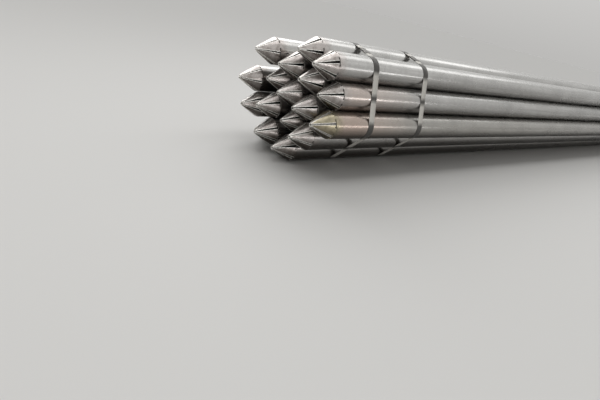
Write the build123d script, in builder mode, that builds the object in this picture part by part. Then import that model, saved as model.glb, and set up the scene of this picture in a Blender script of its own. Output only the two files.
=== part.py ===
# Bundle of eighteen galvanised steel pipes with pointed ends, held by four steel straps.
# Millimetres. X runs along the pipes with the points at -X, Z is up and the straps' undersides are at Z = 0.

import math
import os

from build123d import *

# The pipe: a common four-inch tube in the length that it is sold in
outside_diameter = 114.3
wall = 4.0
pipe_length = 6000.0

# The point: six petals of the tube's own wall, sawn apart and folded in until they meet. A cut across the foot of
# each slit leaves every petal on a narrow neck, which takes the fold.
petal_count = 6
point_length = 90.0
end_radius = 7.0
slit_width = 3.0
neck_width = 20.0
neck_length = 6.0
fold_step = 0.3

# The pack: the heights of the touching pipes in each column, in pitches. The last column has slid half a pipe down.
pipe_gap = 0.3
columns = ((1, 0, -1), (1.5, 0.5, -0.5, -1.5), (1, 0, -1, -2), (1.5, 0.5, -0.5, -1.5), (0.5, -0.5, -1.5))

# How far each point stands back from the first one, and the turn of its petals, from the top of each column down
setbacks = ((0, 35, 5), (0, 15, -10, -20), (-15, -15, 10, -30), (-65, 0, -50, -55), (-70, -55, 25))
turns = ((31, 36, 36), (53, 8, 36, 17), (42, 35, 21, 33), (54, 19, 29, 23), (2, 16, 10))

# The straps, in one pair near each end, at these distances from the first pipe's ends
strap_width = 32.0
strap_thickness = 0.9
strap_gap = 0.3
strap_distances = (295.0, 630.0)

# The seals that hold the straps' lapped ends, crimped once on each edge
seal_length = 45.0
seal_wall = 1.2
seal_gap = 0.2
seal_lip = 11.0
crimp_depth = 2.5
crimp_width = 7.0

# Worked out from the sizes above
outer_radius = outside_diameter / 2
inner_radius = outer_radius - wall
pitch = outside_diameter + pipe_gap
half_petal = math.pi / petal_count
fold_angle = math.atan2(outer_radius - end_radius, point_length)
slant_length = point_length / math.cos(fold_angle)
strap_inner_radius = outer_radius + strap_gap
strap_outer_radius = strap_inner_radius + strap_thickness

os.makedirs("parts", exist_ok=True)


def tube_ring():
    Circle(outer_radius)
    Circle(inner_radius, mode=Mode.SUBTRACT)


# One petal with its neck. It has the tube's own curve and is cut off square at the fold, where its outside
# lies a little under the tube's.
crown = outer_radius - fold_step
folded = Plane(
    origin=(outer_radius * math.sin(fold_angle), 0, crown - outer_radius * math.cos(fold_angle)),
    x_dir=(0, 1, 0),
    z_dir=(-math.cos(fold_angle), 0, -math.sin(fold_angle)),
)
wedge_foot = slit_width / 2 / math.sin(half_petal)
wedge_half_width = (outside_diameter - wedge_foot) * math.tan(half_petal)

with BuildPart() as petal:
    with BuildSketch(folded.offset(-outside_diameter)):
        tube_ring()
    extrude(amount=outside_diameter + slant_length)
    # The slits leave a wedge, which starts at the fold and is drawn long enough here to pass the petal's point
    with BuildSketch(Plane.YZ.offset(-2 * point_length)):
        with BuildLine():
            Polyline(
                (0, wedge_foot),
                (wedge_half_width, outside_diameter),
                (-wedge_half_width, outside_diameter),
                close=True,
            )
        make_face()
    extrude(amount=2 * point_length, mode=Mode.INTERSECT)
    with BuildSketch(Plane.XY):
        for side in (-1, 1):
            with Locations((0, side * (neck_width + outside_diameter) / 2)):
                Rectangle(2 * neck_length, outside_diameter)
    extrude(amount=outside_diameter, mode=Mode.SUBTRACT)

# One pipe, with its fold at X = 0
with BuildPart() as pointed_pipe:
    with BuildSketch(Plane.YZ):
        tube_ring()
    extrude(amount=pipe_length - point_length)
    for number in range(petal_count):
        add(petal.part, rotation=(number * 360 / petal_count, 0, 0))

# Where the pipes lie. The columns stand upright here, and then the pack is rolled until it rests on its two
# lowest pipes, the last of the middle column and the last of the far one.
nested_step = math.cos(math.radians(30))
square_step = 1
middle_column = len(columns) // 2
far_column = len(columns) - 1
column_places = [nested_step * (number - middle_column) for number in range(far_column)]
column_places.append(column_places[-1] + square_step)
lowest_near = (column_places[middle_column], columns[middle_column][-1])
lowest_far = (column_places[far_column], columns[far_column][-1])
roll = math.atan2(lowest_far[1] - lowest_near[1], lowest_far[0] - lowest_near[0])


def rolled(across, up):
    # Turns a place in the upright pack by the roll, in millimetres
    y = across * math.cos(roll) + up * math.sin(roll)
    z = up * math.cos(roll) - across * math.sin(roll)
    return y * pitch, z * pitch


rest_height = strap_outer_radius - rolled(*lowest_near)[1]
packed_columns = []
for across, heights in zip(column_places, columns):
    rolled_column = [rolled(across, up) for up in heights]
    packed_columns.append([(y, z + rest_height) for y, z in rolled_column])
places = [place for column in packed_columns for place in column]

# X = 0 is halfway along the bundle
all_setbacks = [setback for column in setbacks for setback in column]
all_turns = [turn for column in turns for turn in column]
first_point = -(min(all_setbacks) + max(all_setbacks) + pipe_length) / 2
first_end = first_point + pipe_length

for number, (place, setback, turn) in enumerate(zip(places, all_setbacks, all_turns), start=1):
    with BuildPart() as pipe:
        with Locations((first_point + setback + point_length, *place)):
            add(pointed_pipe.part, rotation=(turn, 0, 0))
    pipe.part.label = f"pipe_{number:02d}"
    export_step(pipe.part, f"parts/{pipe.part.label}.step")

# The pipes at the corners of the pack, going round it: the seal sits on the flat stretch between the first two
near, second, middle, fourth, far = packed_columns
corners = [near[0], second[0], fourth[0], far[0], far[-1], middle[-1], near[-1]]
seal_from, seal_to = corners[:2]


def band_outline(radius):
    # Arcs round the corner pipes with straight stretches between them
    Polygon(*corners, align=None)
    offset(amount=radius, kind=Kind.ARC)


with BuildSketch(Plane.YZ) as strap_inside:
    band_outline(strap_inner_radius)

with BuildSketch(Plane.YZ) as strap_section:
    band_outline(strap_outer_radius)
    add(strap_inside.sketch_local, mode=Mode.SUBTRACT)

# The seal is a channel folded round the strap, with its lips underneath. Its own Z points out from the pack.
seal_reach = seal_gap + seal_wall
seal_width = strap_width + 2 * seal_reach
seal_height = strap_thickness + 2 * seal_reach

with BuildPart() as seal_form:
    with BuildSketch(Plane.YZ.offset(-seal_length / 2)):
        Rectangle(seal_width, seal_height)
        Rectangle(strap_width + 2 * seal_gap, strap_thickness + 2 * seal_gap, mode=Mode.SUBTRACT)
        with Locations((0, -seal_height / 2)):
            Rectangle(seal_width - 2 * seal_lip, 2 * seal_reach, mode=Mode.SUBTRACT)
    extrude(amount=seal_length)
    with BuildSketch(Plane.XY.offset(-seal_height)):
        for side in (-1, 1):
            with Locations((0, side * seal_width / 2)):
                Rectangle(crimp_width, 2 * crimp_depth)
    extrude(amount=2 * seal_height, mode=Mode.SUBTRACT)

span_length = math.dist(seal_from, seal_to)
span = ((seal_to[0] - seal_from[0]) / span_length, (seal_to[1] - seal_from[1]) / span_length)
outwards = (-span[1], span[0])
seal_radius = strap_inner_radius + strap_thickness / 2
seal_y = (seal_from[0] + seal_to[0]) / 2 + outwards[0] * seal_radius
seal_z = (seal_from[1] + seal_to[1]) / 2 + outwards[1] * seal_radius

strap_places = [first_point + distance for distance in strap_distances]
strap_places += [first_end - distance for distance in reversed(strap_distances)]

for number, x in enumerate(strap_places, start=1):
    with BuildPart() as strap:
        with BuildSketch(Plane.YZ.offset(x - strap_width / 2)):
            add(strap_section.sketch_local)
        extrude(amount=strap_width)
    strap.part.label = f"strap_{number}"
    export_step(strap.part, f"parts/{strap.part.label}.step")

    on_strap = Plane(origin=(x, seal_y, seal_z), x_dir=(0, *span), z_dir=(0, *outwards))
    with BuildPart() as seal:
        with Locations(on_strap):
            add(seal_form.part)
    seal.part.label = f"strap_seal_{number}"
    export_step(seal.part, f"parts/{seal.part.label}.step")
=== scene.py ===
# A strapped bundle of galvanised steel pipes, each with its near end sawn into petals and folded to a point.
# Metres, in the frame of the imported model: X runs along the pipes with the points at -X, and Z is up.

import math

import bmesh
import bpy
from mathutils import Matrix, Vector


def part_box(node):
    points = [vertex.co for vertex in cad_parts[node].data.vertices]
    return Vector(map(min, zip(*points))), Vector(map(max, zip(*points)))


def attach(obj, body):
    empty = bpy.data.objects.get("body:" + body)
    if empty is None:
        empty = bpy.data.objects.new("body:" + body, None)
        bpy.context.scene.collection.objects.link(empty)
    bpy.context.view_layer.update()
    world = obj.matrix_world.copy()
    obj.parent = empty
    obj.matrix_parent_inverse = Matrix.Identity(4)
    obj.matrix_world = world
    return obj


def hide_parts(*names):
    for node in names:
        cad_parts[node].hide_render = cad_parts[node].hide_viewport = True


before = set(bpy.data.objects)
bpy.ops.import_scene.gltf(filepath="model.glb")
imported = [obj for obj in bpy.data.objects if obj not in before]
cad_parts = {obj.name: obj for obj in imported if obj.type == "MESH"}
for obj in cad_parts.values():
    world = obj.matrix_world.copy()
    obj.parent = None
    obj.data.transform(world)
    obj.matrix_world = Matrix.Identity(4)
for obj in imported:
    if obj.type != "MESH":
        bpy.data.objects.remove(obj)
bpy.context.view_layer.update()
bpy.ops.object.select_all(action="DESELECT")
bpy.context.scene.view_settings.view_transform = "Standard"

# The camera stands beside the points, about a metre above the ground, as in the photo. The pack lay there
# turned a little from how it rests by itself on a floor, so the view is set for the pack as it lay and then
# turned with it.
pipe_pitch = 0.1146
camera_offset = Vector((-10.12, -11.80, -0.93)) * pipe_pitch
camera_heading = math.radians(50.53)
camera_dip = math.radians(9.73)
camera_roll = math.radians(1.02)
pack_turn = math.radians(-19.29)
frame_width = 600
focal_pixels = 452

point_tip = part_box("pipe_01")[0].x
sight_low, sight_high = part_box("pipe_02")
sight = Vector((point_tip, (sight_low.y + sight_high.y) / 2, (sight_low.z + sight_high.z) / 2))

bpy.ops.object.camera_add()
camera = bpy.context.object
camera.name = "camera"
camera.data.sensor_width = 36
camera.data.lens = focal_pixels * camera.data.sensor_width / frame_width
camera.matrix_world = (
    Matrix.Translation(sight)
    @ Matrix.Rotation(pack_turn, 4, "X")
    @ Matrix.Translation(camera_offset)
    @ Matrix.Rotation(camera_heading - math.radians(90), 4, "Z")
    @ Matrix.Rotation(math.radians(90) - camera_dip, 4, "X")
    @ Matrix.Rotation(camera_roll, 4, "Z")
)
bpy.context.scene.camera = camera


# The floor is a plain pale sheet that only catches the bundle's shadow. The surround is as pale as the far
# floor and lighter overhead, like a lit ceiling. A broad soft lamp is high up, a long one hangs over the
# bundle, and a low one draws a line of light along each pipe.
def linear(hex_colour):
    # A colour written as sRGB hex, as the linear numbers that a shader takes
    channels = [int(hex_colour[place : place + 2], 16) / 255 for place in (1, 3, 5)]
    return [c / 12.92 if c <= 0.04045 else ((c + 0.055) / 1.055) ** 2.4 for c in channels] + [1]


def node(tree, kind, inputs=None, **settings):
    # Adds one node, sets it up and fills its inputs with numbers or links
    added = tree.nodes.new(kind)
    for name, value in settings.items():
        setattr(added, name, value)
    for name, value in (inputs or {}).items():
        if isinstance(value, bpy.types.NodeSocket):
            tree.links.new(value, added.inputs[name])
        else:
            added.inputs[name].default_value = value
    return added


floor_size = 120
floor_colour = linear("#d9d8d6")
horizon_colour = linear("#bcbbb9")
ceiling_colour = linear("#fafaf8")
ceiling_height = 0.6
surround_light = 0.4

bpy.ops.mesh.primitive_plane_add(size=floor_size)
floor = bpy.context.object
floor.name = "floor"
floor_paint = bpy.data.materials.new("matt floor paint")
floor_paint.use_nodes = True
floor_shader = floor_paint.node_tree.nodes["Principled BSDF"]
floor_shader.inputs["Base Color"].default_value = floor_colour
floor_shader.inputs["Roughness"].default_value = 0.9
floor_shader.inputs["Specular IOR Level"].default_value = 0
floor.data.materials.append(floor_paint)

surround = bpy.data.worlds.new("surround")
bpy.context.scene.world = surround
surround.use_nodes = True
air = surround.node_tree
skyward = node(air, "ShaderNodeTexCoord").outputs["Generated"]
height = node(air, "ShaderNodeSeparateXYZ", {"Vector": skyward}).outputs["Z"]
glow = node(air, "ShaderNodeValToRGB", {"Fac": height})
glow.color_ramp.elements[0].color = horizon_colour
glow.color_ramp.elements[1].position = ceiling_height
glow.color_ramp.elements[1].color = ceiling_colour
air.links.new(glow.outputs["Color"], air.nodes["Background"].inputs["Color"])
rays = node(air, "ShaderNodeLightPath").outputs
seen = rays["Is Camera Ray"]
for ray in ("Is Glossy Ray", "Is Transmission Ray"):
    seen = node(air, "ShaderNodeMath", {0: seen, 1: rays[ray]}, operation="MAXIMUM").outputs["Value"]
level = node(air, "ShaderNodeMapRange", {"Value": seen, "To Min": surround_light, "To Max": 1})
air.links.new(level.outputs["Result"], air.nodes["Background"].inputs["Strength"])

high_lamp_direction = Vector((-0.3, -0.7, -0.65))
bpy.ops.object.light_add(type="SUN")
high_lamp = bpy.context.object
high_lamp.name = "high lamp"
high_lamp.data.energy = 1.7
high_lamp.data.angle = math.radians(50)
high_lamp.rotation_euler = high_lamp_direction.to_track_quat("-Z", "Y").to_euler()


def long_lamp(name, place, aim, size, power):
    # A soft lamp as long as the bundle, facing the aimed point
    bpy.ops.object.light_add(type="AREA", location=place)
    lit = bpy.context.object
    lit.name = name
    lit.data.shape = "RECTANGLE"
    lit.data.size, lit.data.size_y = size
    lit.data.energy = power
    lit.visible_camera = False
    lit.rotation_euler = (Vector(aim) - Vector(place)).to_track_quat("-Z", "Y").to_euler()


long_lamp("overhead lamp", place=(-0.6, 0.2, 3.0), aim=(-0.6, 0, 0.3), size=(9, 1.2), power=48)
# The low lamp only makes the line of light on the metal, so that no bright pool lies on the floor beside it
long_lamp("low lamp", place=(-1.5, -5.0, 0.9), aim=(-1.5, 0, 0.3), size=(10, 0.5), power=62)
bpy.context.object.visible_diffuse = False


# The pipes are four-inch tubes, 4 mm thick, dipped in zinc. One end is sawn along six lines and across
# behind the foot of each slit, which leaves six petals on narrow necks, and these are hammered in to a point.

# Patterns are given as features to the metre: draw marks about 770 mm long and 14 mm wide, cloudy bloom about
# 170 mm across, zinc crystals of 12.5 mm, hammer stains of 25 mm, dents of 70 by 20 mm and saw nicks of 6 mm.
# The crystals and the nicks are drawn coarser than real ones, or they would not show.
draw_marks = (1.3, 70, 70)
bloom_clouds = 6
zinc_crystals = 80
hammer_stains = 40
hammer_dents = (14, 50, 50)
saw_nicks = 160
# The dark colour of the painted shade on the pipes' undersides and on the lowest pipes
painted_shade_colour = linear("#4a443e")
dust_cover = 0.35
roughest_zinc = 0.32
smoothest_zinc = 0.2

# The places of a Mix node's two colours and of its mixed colour among its sockets
colour_a, colour_b, mixed_colour = 6, 7, 2


def galvanised_zinc(name, zinc, dull, worked, stained, warm):
    # Hot-dipped zinc: pale grey metal with a faint spangle and lengthwise draw, which gives soft long
    # highlights. The hammered petals are a little browner and blotched.
    material = bpy.data.materials.new(name)
    material.use_nodes = True
    tree = material.node_tree
    shader = tree.nodes["Principled BSDF"]
    place = node(tree, "ShaderNodeTexCoord").outputs["Object"]

    drawn = node(tree, "ShaderNodeMapping", {"Vector": place, "Scale": draw_marks}).outputs["Vector"]
    streaks = node(tree, "ShaderNodeTexNoise", {"Vector": drawn, "Scale": 1, "Detail": 4}).outputs["Fac"]
    clouds = {"Vector": place, "Scale": bloom_clouds, "Detail": 5}
    bloom = node(tree, "ShaderNodeTexNoise", clouds).outputs["Fac"]
    cells = node(tree, "ShaderNodeTexVoronoi", {"Vector": place, "Scale": zinc_crystals}).outputs["Color"]
    spangle = node(tree, "ShaderNodeRGBToBW", {"Color": cells}).outputs["Val"]
    mixed = node(tree, "ShaderNodeMath", {0: streaks, 1: bloom}, operation="MULTIPLY").outputs["Value"]
    tone = node(tree, "ShaderNodeValToRGB", {"Fac": mixed})
    tone.color_ramp.elements[0].position = 0.14
    tone.color_ramp.elements[0].color = dull
    tone.color_ramp.elements[1].position = 0.36
    tone.color_ramp.elements[1].color = zinc
    spangled = {"Factor": 0.06, colour_a: tone.outputs["Color"], colour_b: spangle}
    crystals = node(tree, "ShaderNodeMix", spangled, data_type="RGBA", blend_type="OVERLAY")

    # A warm pink tint lies on the zinc behind the points of some pipes, fading back from the fold
    flush = node(tree, "ShaderNodeAttribute", attribute_name="flushed").outputs["Fac"]
    pink_tinted = {"Factor": flush, colour_a: crystals.outputs[mixed_colour], colour_b: warm}
    flushed = node(tree, "ShaderNodeMix", pink_tinted, data_type="RGBA")

    stains = {"Vector": place, "Scale": hammer_stains, "Detail": 5, "Roughness": 0.6}
    blotches = node(tree, "ShaderNodeTexNoise", stains)
    blotch_tone = node(tree, "ShaderNodeValToRGB", {"Fac": blotches.outputs["Fac"]})
    blotch_tone.color_ramp.elements[0].position = 0.36
    blotch_tone.color_ramp.elements[0].color = stained
    blotch_tone.color_ramp.elements[1].position = 0.56
    blotch_tone.color_ramp.elements[1].color = worked
    hammered = node(tree, "ShaderNodeAttribute", attribute_name="hammered").outputs["Fac"]
    beaten_look = {
        "Factor": hammered,
        colour_a: flushed.outputs[mixed_colour],
        colour_b: blotch_tone.outputs["Color"],
    }
    colour = node(tree, "ShaderNodeMix", beaten_look, data_type="RGBA")

    # Painted shade: what faces down, and the lowest pipes, are darkened towards a dark brownish grey
    facing = node(tree, "ShaderNodeNewGeometry").outputs["Normal"]
    upward = node(tree, "ShaderNodeSeparateXYZ", {"Vector": facing}).outputs["Z"]
    underside = {"Value": upward, "From Min": -0.6, "From Max": 0.12, "To Min": 0.6, "To Max": 0}
    shade_and_grime = node(tree, "ShaderNodeMapRange", underside).outputs["Result"]
    low_pipe_shade = node(tree, "ShaderNodeAttribute", attribute_name="painted_shade").outputs["Fac"]
    shade_cover = node(tree, "ShaderNodeMath", {0: shade_and_grime, 1: low_pipe_shade}, operation="ADD", use_clamp=True)
    painted_shade_mix = {
        "Factor": shade_cover.outputs["Value"],
        colour_a: colour.outputs[mixed_colour],
        colour_b: painted_shade_colour,
    }
    painted_shade = node(tree, "ShaderNodeMix", painted_shade_mix, data_type="RGBA").outputs[mixed_colour]
    tree.links.new(painted_shade, shader.inputs["Base Color"])

    # Dust has settled on what faces up, and dulls the metal there
    settled = {"Value": upward, "From Min": 0.2, "From Max": 1, "To Min": 0, "To Max": dust_cover}
    dust = node(tree, "ShaderNodeMapRange", settled).outputs["Result"]
    bare = node(tree, "ShaderNodeMath", {0: 1, 1: dust}, operation="SUBTRACT").outputs["Value"]
    tree.links.new(bare, shader.inputs["Metallic"])

    worn = {"Value": mixed, "From Min": 0.1, "From Max": 0.4, "To Min": roughest_zinc, "To Max": smoothest_zinc}
    rough = node(tree, "ShaderNodeMapRange", worn).outputs["Result"]
    rougher = node(tree, "ShaderNodeMath", {0: hammered, 1: 0.02, 2: rough}, operation="MULTIPLY_ADD")
    tree.links.new(rougher.outputs["Value"], shader.inputs["Roughness"])

    beaten = node(tree, "ShaderNodeMapping", {"Vector": place, "Scale": hammer_dents}).outputs["Vector"]
    dents = node(tree, "ShaderNodeTexNoise", {"Vector": beaten, "Scale": 1, "Detail": 2}).outputs["Fac"]
    depth = node(tree, "ShaderNodeMath", {0: dents, 1: hammered}, operation="MULTIPLY").outputs["Value"]
    relief = node(tree, "ShaderNodeBump", {"Height": depth, "Strength": 0.12, "Distance": 0.004})
    tree.links.new(relief.outputs["Normal"], shader.inputs["Normal"])
    return material


def sawn_edge(name, colour):
    # The corners of the cuts, where the saw and the hammer have left bare bright metal
    material = bpy.data.materials.new(name)
    material.use_nodes = True
    tree = material.node_tree
    shader = tree.nodes["Principled BSDF"]
    shader.inputs["Metallic"].default_value = 0.55
    place = node(tree, "ShaderNodeTexCoord").outputs["Object"]
    nicks = node(tree, "ShaderNodeTexNoise", {"Vector": place, "Scale": saw_nicks, "Detail": 3}).outputs["Fac"]
    tone = node(tree, "ShaderNodeValToRGB", {"Fac": nicks})
    tone.color_ramp.elements[0].position = 0.38
    tone.color_ramp.elements[0].color = linear("#c9c6c1")
    tone.color_ramp.elements[1].position = 0.55
    tone.color_ramp.elements[1].color = colour
    tree.links.new(tone.outputs["Color"], shader.inputs["Base Color"])
    shader.inputs["Roughness"].default_value = 0.28
    return material


def choose(piece, chosen):
    # Selects the faces that pass the test, in edit mode
    bpy.ops.mesh.select_all(action="DESELECT")
    shell = bmesh.from_edit_mesh(piece.data)
    for face in shell.faces:
        if chosen(face):
            face.select_set(True)
    bmesh.update_edit_mesh(piece.data)


first_low, first_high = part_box("pipe_01")
tube_radius = (first_high.y - first_low.y) / 2
tube_wall = 0.004
point_length = 0.09
straight_length = first_high.x - first_low.x - point_length
end_radius = 0.007
facets = 96
facet = math.tau / facets
petal_count = 6
half_petal = math.pi / petal_count

# The cut across lies between these two places, and the neck beside it bends a little at each row
cut_front = -0.006
cut_back = 0
bend_spacing = 0.0015
bend_rows = [cut_back - bend_spacing * row for row in range(5)]
hinge_clearance = bend_spacing / 3
bend_middle = (bend_rows[0] + bend_rows[-1]) / 2
fold_angle = math.atan2(tube_radius - end_radius, point_length + bend_middle)
petal_length = (point_length + bend_rows[-1]) / math.cos(fold_angle)

# Rows across a petal, as shares of its length, and rows behind the fold, where the stains fade out
petal_shares = (0.25, 0.5, 0.75, 0.93)
fade_rows = [0.02, 0.05, 0.12, 0.28, 0.5]

# Behind this row the six sectors make one wall, so their side faces go, and this much beside a slit is bare
trim_from = 0.001
bare_width = 0.0024

clean_zinc = galvanised_zinc(
    "galvanised steel",
    zinc=linear("#bdbcba"),
    dull=linear("#a9a8a6"),
    worked=linear("#b5afac"),
    stained=linear("#958e8a"),
    warm=linear("#c9ad9e"),
)
bright_edge = sawn_edge("bare sawn steel", linear("#f7f5f0"))


def petal_sector(name, slit_end, slit_root, cut_facets):
    # A sixth of the tube with its petal on top, outside wall first, then thickened and its slits trimmed
    near_end = bend_rows[-1] - petal_length
    bpy.ops.mesh.primitive_cylinder_add(
        vertices=facets,
        radius=tube_radius,
        depth=straight_length - near_end,
        end_fill_type="NOTHING",
        location=((straight_length + near_end) / 2, 0, 0),
        rotation=(0, math.radians(90), 0),
    )
    sector = bpy.context.object
    sector.name = name
    sector.data.materials.append(clean_zinc)
    sector.data.materials.append(bright_edge)
    bpy.ops.object.transform_apply()
    bpy.ops.object.mode_set(mode="EDIT")
    petal_rows = [bend_rows[-1] - petal_length * share for share in petal_shares]
    for row in [trim_from] + fade_rows + bend_rows + petal_rows:
        bpy.ops.mesh.select_all(action="SELECT")
        bpy.ops.mesh.bisect(plane_co=(row, 0, 0), plane_no=(1, 0, 0))

    def turned(face):
        centre = face.calc_center_median()
        return abs(math.atan2(centre.y, centre.z))

    choose(sector, lambda face: turned(face) > half_petal)
    bpy.ops.mesh.delete(type="FACE")
    cut_turn = half_petal - cut_facets * facet
    choose(
        sector,
        lambda face: cut_front < face.calc_center_median().x < cut_back and turned(face) > cut_turn,
    )
    bpy.ops.mesh.delete(type="FACE")

    # The last row bends first, so that every hinge is still in its place when its turn comes
    for row in reversed(bend_rows):
        bpy.ops.mesh.select_all(action="DESELECT")
        shell = bmesh.from_edit_mesh(sector.data)
        for vertex in shell.verts:
            vertex.select_set(vertex.co.x < row - hinge_clearance)
        bmesh.update_edit_mesh(sector.data)
        bpy.ops.transform.rotate(
            value=fold_angle / len(bend_rows), orient_axis="Y", center_override=(row, 0, tube_radius)
        )
    bpy.ops.object.mode_set(mode="OBJECT")
    wall = sector.modifiers.new("wall", "SOLIDIFY")
    wall.thickness = tube_wall
    wall.offset = -1
    wall.use_even_offset = True
    bpy.ops.object.modifier_apply(modifier="wall")

    bpy.ops.object.mode_set(mode="EDIT")
    slope = (slit_root - slit_end) / 2 / point_length
    for side in (-1, 1):
        across = Vector((0, side * math.cos(half_petal), -math.sin(half_petal)))
        slit_place = Vector((-point_length, 0, 0)) - across * slit_end / 2
        slit_facing = (across + Vector((slope, 0, 0))).normalized()
        choose(sector, lambda face: face.calc_center_median().x < cut_front)
        bpy.ops.mesh.bisect(plane_co=slit_place - slit_facing * bare_width, plane_no=slit_facing)
        choose(sector, lambda face: face.calc_center_median().x < cut_back)
        bpy.ops.mesh.bisect(plane_co=slit_place, plane_no=slit_facing, use_fill=True, clear_outer=True)
        choose(
            sector,
            lambda face: face.calc_center_median().x < cut_front
            and (face.calc_center_median() - slit_place).dot(slit_facing) > -bare_width,
        )
        sector.active_material_index = 1
        bpy.ops.object.material_slot_assign()
    border = half_petal - facet / 4
    choose(
        sector,
        lambda face: face.calc_center_median().x > cut_back + trim_from / 4 and turned(face) > border,
    )
    bpy.ops.mesh.delete(type="FACE")
    bpy.ops.object.mode_set(mode="OBJECT")
    bpy.ops.object.select_all(action="DESELECT")
    return sector


sectors = [
    petal_sector("petal wide slit", slit_end=0.0038, slit_root=0.0088, cut_facets=6),
    petal_sector("petal open root", slit_end=0.0014, slit_root=0.0108, cut_facets=5),
    petal_sector("petal tight slit", slit_end=0.0022, slit_root=0.0058, cut_facets=5),
]

# Which cut each pipe's petals have, and how far the pipe is turned, as the photo shows them from the top
# of the nearest column down to the bottom of the farthest
petal_cuts = (1, 0, 2, 1, 1, 0, 2, 1, 2, 0, 1, 2, 1, 1, 0, 2, 1, 2)
petal_turns = (31, 36, 36, 53, 8, 36, 17, 42, 35, 21, 33, 54, 19, 29, 23, 2, 16, 10)

# How strongly a pipe is flushed, and how far behind the fold the flush and the hammering fade out
flushed_pipes = {2: 0.35, 3: 0.55}
flush_fade = (0.12, 0.5)
hammer_fade = (0.001, 0.05)

# The painted shade is heaviest on pipes at the first height and gone on those at the second
heaviest_painted_shade = 0.42
painted_shade_heights = (0.1, 0.36)

straw_zinc = galvanised_zinc(
    "galvanised steel straw tinted",
    zinc=linear("#bdbbb6"),
    dull=linear("#a9a7a3"),
    worked=linear("#bab097"),
    stained=linear("#979079"),
    warm=linear("#c9ad9e"),
)
straw_tinted = (3,)


def fall(distance, full, none):
    # One up to the first distance and nothing beyond the second
    return max(0, min(1, (none - distance) / (none - full)))


for number, (cut, turn) in enumerate(zip(petal_cuts, petal_turns), start=1):
    pipe_node = f"pipe_{number:02d}"
    low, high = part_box(pipe_node)
    place = Vector((low.x + point_length, (low.y + high.y) / 2, (low.z + high.z) / 2))
    copies = []
    for petal in range(petal_count):
        sixth = sectors[cut].copy()
        sixth.data = sectors[cut].data.copy()
        bpy.context.collection.objects.link(sixth)
        spin = Matrix.Rotation(math.radians(turn + 360 * petal / petal_count), 4, "X")
        sixth.data.transform(Matrix.Translation(place) @ spin)
        sixth.select_set(True)
        copies.append(sixth)
    pipe = copies[0]
    pipe.name = f"pointed_tube_{number:02d}"
    bpy.context.view_layer.objects.active = pipe
    bpy.ops.object.join()
    bpy.ops.object.mode_set(mode="EDIT")
    bpy.ops.mesh.select_all(action="SELECT")
    bpy.ops.mesh.remove_doubles(threshold=0.00002)
    bpy.ops.object.mode_set(mode="OBJECT")
    if number in straw_tinted:
        pipe.data.materials[0] = straw_zinc
    rounding = pipe.modifiers.new("rounding", "BEVEL")
    rounding.width = 0.0009
    rounding.segments = 2
    rounding.limit_method = "ANGLE"
    rounding.angle_limit = math.radians(40)
    rounding.material = 1
    bpy.ops.object.modifier_apply(modifier="rounding")
    bpy.ops.object.shade_smooth_by_angle(angle=math.radians(35))
    behind = [vertex.co.x - place.x for vertex in pipe.data.vertices]
    hammered = pipe.data.attributes.new("hammered", "FLOAT", "POINT")
    hammered.data.foreach_set("value", [fall(distance, *hammer_fade) for distance in behind])
    flushed = pipe.data.attributes.new("flushed", "FLOAT", "POINT")
    reach = flushed_pipes.get(number, 0)
    flushed.data.foreach_set("value", [reach * fall(distance, *flush_fade) for distance in behind])
    # Painted shade on the lower pipes, set by the height of each pipe
    painted_shade = pipe.data.attributes.new("painted_shade", "FLOAT", "POINT")
    painted_shade.data.foreach_set("value", [heaviest_painted_shade * fall(place.z, *painted_shade_heights)] * len(behind))
    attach(pipe, "root")
    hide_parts(pipe_node)
    bpy.ops.object.select_all(action="DESELECT")

for sector in sectors:
    bpy.data.objects.remove(sector)


# The straps are flat steel strapping, 32 mm wide, pulled tight round the whole pack by a tensioner and
# lapped at the top of the near side. Each is one loop with its tail lying on its own start.

# Smudges on the coating, to the metre: about 17 mm across
strap_smudges = 60


def strapping_steel(name, coat, bare):
    # Zinc-flake coated strapping: pale and rather matt on the free stretches, with painted shade that darkens
    # it where it lies over the pipes
    material = bpy.data.materials.new(name)
    material.use_nodes = True
    tree = material.node_tree
    shader = tree.nodes["Principled BSDF"]
    place = node(tree, "ShaderNodeTexCoord").outputs["Object"]
    smudges = {"Vector": place, "Scale": strap_smudges, "Detail": 5, "Roughness": 0.6}
    shade_and_grime = node(tree, "ShaderNodeTexNoise", smudges).outputs["Fac"]
    # Painted shade where the strap lies over a pipe, added to half the smudges, darkens the coat towards the
    # second colour
    bearing_shade = node(tree, "ShaderNodeAttribute", attribute_name="bearing_shade").outputs["Fac"]
    worn = node(tree, "ShaderNodeMath", {0: shade_and_grime, 1: 0.5, 2: bearing_shade}, operation="MULTIPLY_ADD")
    shade_share = node(tree, "ShaderNodeMapRange", {"Value": worn.outputs["Value"], "From Min": 0.3, "From Max": 1.1})
    bearing_shade_mix = {"Factor": shade_share.outputs["Result"], colour_a: coat, colour_b: bare}
    colour = node(tree, "ShaderNodeMix", bearing_shade_mix, data_type="RGBA").outputs[mixed_colour]
    tree.links.new(colour, shader.inputs["Base Color"])
    shader.inputs["Metallic"].default_value = 0.35
    rough = node(tree, "ShaderNodeMapRange", {"Value": shade_and_grime, "To Min": 0.4, "To Max": 0.62})
    tree.links.new(rough.outputs["Result"], shader.inputs["Roughness"])
    relief = node(tree, "ShaderNodeBump", {"Height": shade_and_grime, "Strength": 0.2, "Distance": 0.001})
    tree.links.new(relief.outputs["Normal"], shader.inputs["Normal"])
    return material


strap_low, strap_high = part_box("strap_1")
strap_width = strap_high.x - strap_low.x
strap_thickness = 0.0009
strap_radius = tube_radius + 0.0003
lap_start = 0.028
lap_ramp = 0.006
lap_end = 0.098
lapped = strap_thickness * 1.05
tail_rows = (0.045, 0.065, 0.085)
tail_lift = 0.0015
bend_step = 7
# How far along each free stretch the painted shade fades out
bearing_shade_fade = 0.024

# Places closer than this are the same place, and a vertex past this share of a distance lies at its end
same_place = 0.0001
nearly = 0.99


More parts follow.
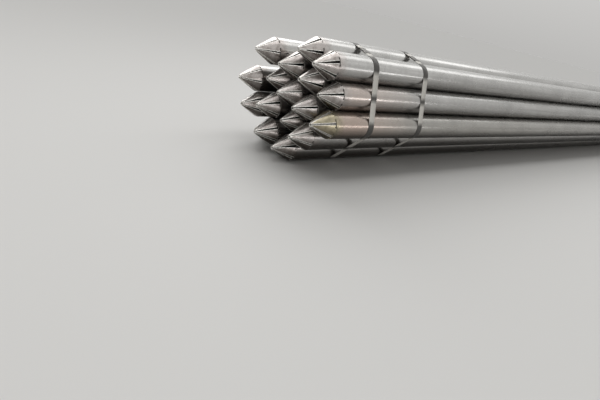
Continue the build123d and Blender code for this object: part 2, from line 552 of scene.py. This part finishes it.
def node_middle(name):
    low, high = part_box(name)
    return Vector((0, (low.y + high.y) / 2, (low.z + high.z) / 2))


# The pipes at the corners of the pack, going round it from the top of the nearest column
corners = [node_middle(f"pipe_{number:02d}") for number in (1, 4, 12, 16, 18, 11, 3)]
sides = [corners[place - len(corners) + 1] - corners[place] for place in range(len(corners))]
runs = [side.normalized() for side in sides]
outwards = [Vector((0, -run.z, run.y)) for run in runs]

lap_from = corners[0] + outwards[0] * strap_radius
bpy.ops.mesh.primitive_plane_add(size=1)
ribbon = bpy.context.object
ribbon.name = "strap pattern"
lap_frame = Matrix((Vector((1, 0, 0)), runs[0], outwards[0])).transposed().to_4x4()
ribbon.data.transform(
    Matrix.Translation(lap_from + runs[0] * (lap_start + lap_ramp / 2))
    @ lap_frame
    @ Matrix.Diagonal((strap_width, lap_ramp, 1, 1))
)
bpy.ops.object.mode_set(mode="EDIT")
edge_place = lap_from + runs[0] * (lap_start + lap_ramp)
bpy.ops.mesh.select_all(action="DESELECT")
shell = bmesh.from_edit_mesh(ribbon.data)
for vertex in shell.verts:
    vertex.select_set((vertex.co - edge_place).dot(runs[0]) > -lap_ramp / 2)
shell.select_flush(True)
bmesh.update_edit_mesh(ribbon.data)


def draw(edge, place):
    # Draws the strap's leading edge out to the next place, which it gives back
    bpy.ops.mesh.extrude_edges_move(TRANSFORM_OT_translate={"value": place - edge})
    return place


def crests(side):
    # How far along this side the strap touches a pipe: at both corners, and at the pipes in line between them
    steps = round(side.length / pipe_pitch)
    in_line = abs(side.length - steps * pipe_pitch) < 10 * same_place
    return [count * pipe_pitch for count in range(steps + 1)] if in_line else [0, side.length]


for count, (run, outward) in enumerate(zip(runs, outwards)):
    start = corners[count] + outward * strap_radius
    reaches = [crest + step for crest in crests(sides[count]) for step in (-bearing_shade_fade, 0, bearing_shade_fade)]
    for reach in reaches:
        ahead = (start + run * reach - edge_place).dot(run)
        if reach < sides[count].length + same_place and ahead > same_place:
            edge_place = draw(edge_place, start + run * reach)
    following = runs[count - len(runs) + 1]
    bend = run.angle(following)
    centre = corners[count - len(corners) + 1]
    steps = max(2, round(math.degrees(bend) / bend_step))
    bpy.ops.mesh.spin(steps=steps, angle=bend, center=centre, axis=(1, 0, 0))
    edge_place = centre + outwards[count - len(outwards) + 1] * strap_radius

# The tail steps up just before the strap's own start, lies on it and lifts a little at its end
tail = [(lap_start - lap_ramp * 1.5, 0), (lap_start - lap_ramp / 2, lapped)]
tail += [(row, lapped) for row in tail_rows]
tail.append((lap_end, lapped + tail_lift))
for along, lift in tail:
    edge_place = draw(edge_place, lap_from + runs[0] * along + outwards[0] * lift)
bpy.ops.object.mode_set(mode="OBJECT")
steel = ribbon.modifiers.new("steel", "SOLIDIFY")
steel.thickness = strap_thickness
steel.offset = 1
bpy.ops.object.modifier_apply(modifier="steel")
deburred = ribbon.modifiers.new("deburred", "BEVEL")
deburred.width = 0.00015
deburred.segments = 2
deburred.limit_method = "ANGLE"
deburred.angle_limit = math.radians(60)
bpy.ops.object.modifier_apply(modifier="deburred")
bpy.ops.object.shade_smooth_by_angle(angle=math.radians(35))
ribbon.select_set(False)


def bearing_shade_at(vertex):
    # Painted shade: one where the strap bears on a pipe, falling to nothing a little way along each free
    # stretch
    shade_level = 1
    for corner, run, outward, side in zip(corners, runs, outwards, sides):
        along = (vertex.co - corner).dot(run)
        if 0 < along < side.length and (vertex.co - corner).dot(outward) > strap_radius * nearly:
            shade_level = fall(min(abs(along - crest) for crest in crests(side)), 0, bearing_shade_fade)
    return shade_level


bearing_shades = [bearing_shade_at(vertex) for vertex in ribbon.data.vertices]
bearing_shade = ribbon.data.attributes.new("bearing_shade", "FLOAT", "POINT")
bearing_shade.data.foreach_set("value", bearing_shades)
# The second colour is the painted shade where the strap lies over the pipes
coated_steel = strapping_steel("zinc-flake strapping steel", linear("#c9c6c0"), linear("#504e4b"))
ribbon.data.materials.append(coated_steel)

for number in range(1, 5):
    strap_node = f"strap_{number}"
    low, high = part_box(strap_node)
    strap = ribbon.copy()
    strap.data = ribbon.data.copy()
    strap.name = f"steel_strap_{number}"
    bpy.context.collection.objects.link(strap)
    strap.data.transform(Matrix.Translation(((low.x + high.x) / 2, 0, 0)))
    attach(strap, "root")
    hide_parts(strap_node)
bpy.data.objects.remove(ribbon)


# Each seal is a short channel of blackened sheet steel, folded round both layers of the strap with its lips
# underneath, and crimped twice on each edge so that they can't slip.

# Scuffs in the black, to the metre: about 8 mm across, coarser than real ones so that they show
seal_scuffs = 130


def blackened_steel(name, black, worn):
    # Heat-blackened sheet: dark and slightly glossy, with grey wear where the crimping tool bit
    material = bpy.data.materials.new(name)
    material.use_nodes = True
    tree = material.node_tree
    shader = tree.nodes["Principled BSDF"]
    shader.inputs["Metallic"].default_value = 0.8
    place = node(tree, "ShaderNodeTexCoord").outputs["Object"]
    scuffing = {"Vector": place, "Scale": seal_scuffs, "Detail": 6, "Roughness": 0.7}
    scuffs = node(tree, "ShaderNodeTexNoise", scuffing).outputs["Fac"]
    tone = node(tree, "ShaderNodeValToRGB", {"Fac": scuffs})
    tone.color_ramp.elements[0].position = 0.42
    tone.color_ramp.elements[0].color = black
    tone.color_ramp.elements[1].position = 0.66
    tone.color_ramp.elements[1].color = worn
    tree.links.new(tone.outputs["Color"], shader.inputs["Base Color"])
    rough = node(tree, "ShaderNodeMapRange", {"Value": scuffs, "To Min": 0.5, "To Max": 0.34})
    tree.links.new(rough.outputs["Result"], shader.inputs["Roughness"])
    return material


seal_length = 0.045
seal_sheet = 0.0012
seal_clearance = 0.0002
seal_lip = 0.011
crimp_places = (-0.009, 0.009)
crimp_half = 0.003
crimp_depth = 0.0022
# Rows of the flat top beside its folded edges, as a share of the half width
top_rows = 0.9
seal_half = strap_width / 2 + seal_clearance
seal_drop = strap_thickness + lapped + 2 * seal_clearance

# Drawn flat at the origin: X across the strap, Y along it and Z away from the pack
bpy.ops.mesh.primitive_plane_add(size=1)
channel = bpy.context.object
channel.name = "seal pattern"
channel.data.transform(Matrix.Diagonal((2 * seal_half, seal_length, 1, 1)))
bpy.ops.object.mode_set(mode="EDIT")


def choose_corners(piece, chosen):
    # Selects the vertices that pass the test, and the edges between them
    bpy.ops.mesh.select_all(action="DESELECT")
    shell = bmesh.from_edit_mesh(piece.data)
    for vertex in shell.verts:
        vertex.select_set(chosen(vertex.co))
    shell.select_flush(True)
    bmesh.update_edit_mesh(piece.data)


for side in (-1, 1):
    choose_corners(channel, lambda place: place.z > -seal_drop / 2 and place.x * side > seal_half * nearly)
    bpy.ops.mesh.extrude_edges_move(TRANSFORM_OT_translate={"value": (0, 0, -seal_drop)})
    bpy.ops.mesh.extrude_edges_move(TRANSFORM_OT_translate={"value": (-side * seal_lip, 0, 0)})
for crimp in crimp_places:
    for row in (crimp - crimp_half, crimp - crimp_half / 2, crimp + crimp_half / 2, crimp + crimp_half):
        bpy.ops.mesh.select_all(action="SELECT")
        bpy.ops.mesh.bisect(plane_co=(0, row, 0), plane_no=(0, 1, 0))
for row in (-seal_half * top_rows, seal_half * top_rows):
    bpy.ops.mesh.select_all(action="SELECT")
    bpy.ops.mesh.bisect(plane_co=(row, 0, 0), plane_no=(1, 0, 0))
for side in (-1, 1):
    for crimp in crimp_places:
        choose_corners(
            channel,
            lambda place: place.x * side > seal_half * nearly and abs(place.y - crimp) < crimp_half * 0.75,
        )
        bpy.ops.transform.translate(value=(-side * crimp_depth, 0, 0))
bpy.ops.mesh.select_all(action="SELECT")
bpy.ops.mesh.normals_make_consistent(inside=False)
bpy.ops.object.mode_set(mode="OBJECT")
top = max(channel.data.polygons, key=lambda face: face.area)
if top.normal.z < 0:
    channel.data.flip_normals()
sheet = channel.modifiers.new("sheet", "SOLIDIFY")
sheet.thickness = seal_sheet
sheet.offset = 1
sheet.use_even_offset = True
bpy.ops.object.modifier_apply(modifier="sheet")
folded = channel.modifiers.new("folded", "BEVEL")
folded.width = 0.0004
folded.segments = 2
folded.limit_method = "ANGLE"
folded.angle_limit = math.radians(40)
bpy.ops.object.modifier_apply(modifier="folded")
bpy.ops.object.shade_smooth_by_angle(angle=math.radians(40))
channel.select_set(False)
seal_steel = blackened_steel("blackened seal steel", linear("#3c3b3a"), linear("#8b8782"))
channel.data.materials.append(seal_steel)

seal_top = strap_radius + seal_drop - seal_clearance
for number in range(1, 5):
    seal_node = f"strap_seal_{number}"
    low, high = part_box(seal_node)
    middle = Vector(((low.x + high.x) / 2, 0, 0)) + (corners[0] + corners[1]) / 2
    seal = channel.copy()
    seal.data = channel.data.copy()
    seal.name = f"crimped_seal_{number}"
    bpy.context.collection.objects.link(seal)
    seal.data.transform(Matrix.Translation(middle + outwards[0] * seal_top) @ lap_frame)
    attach(seal, "root")
    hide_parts(seal_node)
bpy.data.objects.remove(channel)
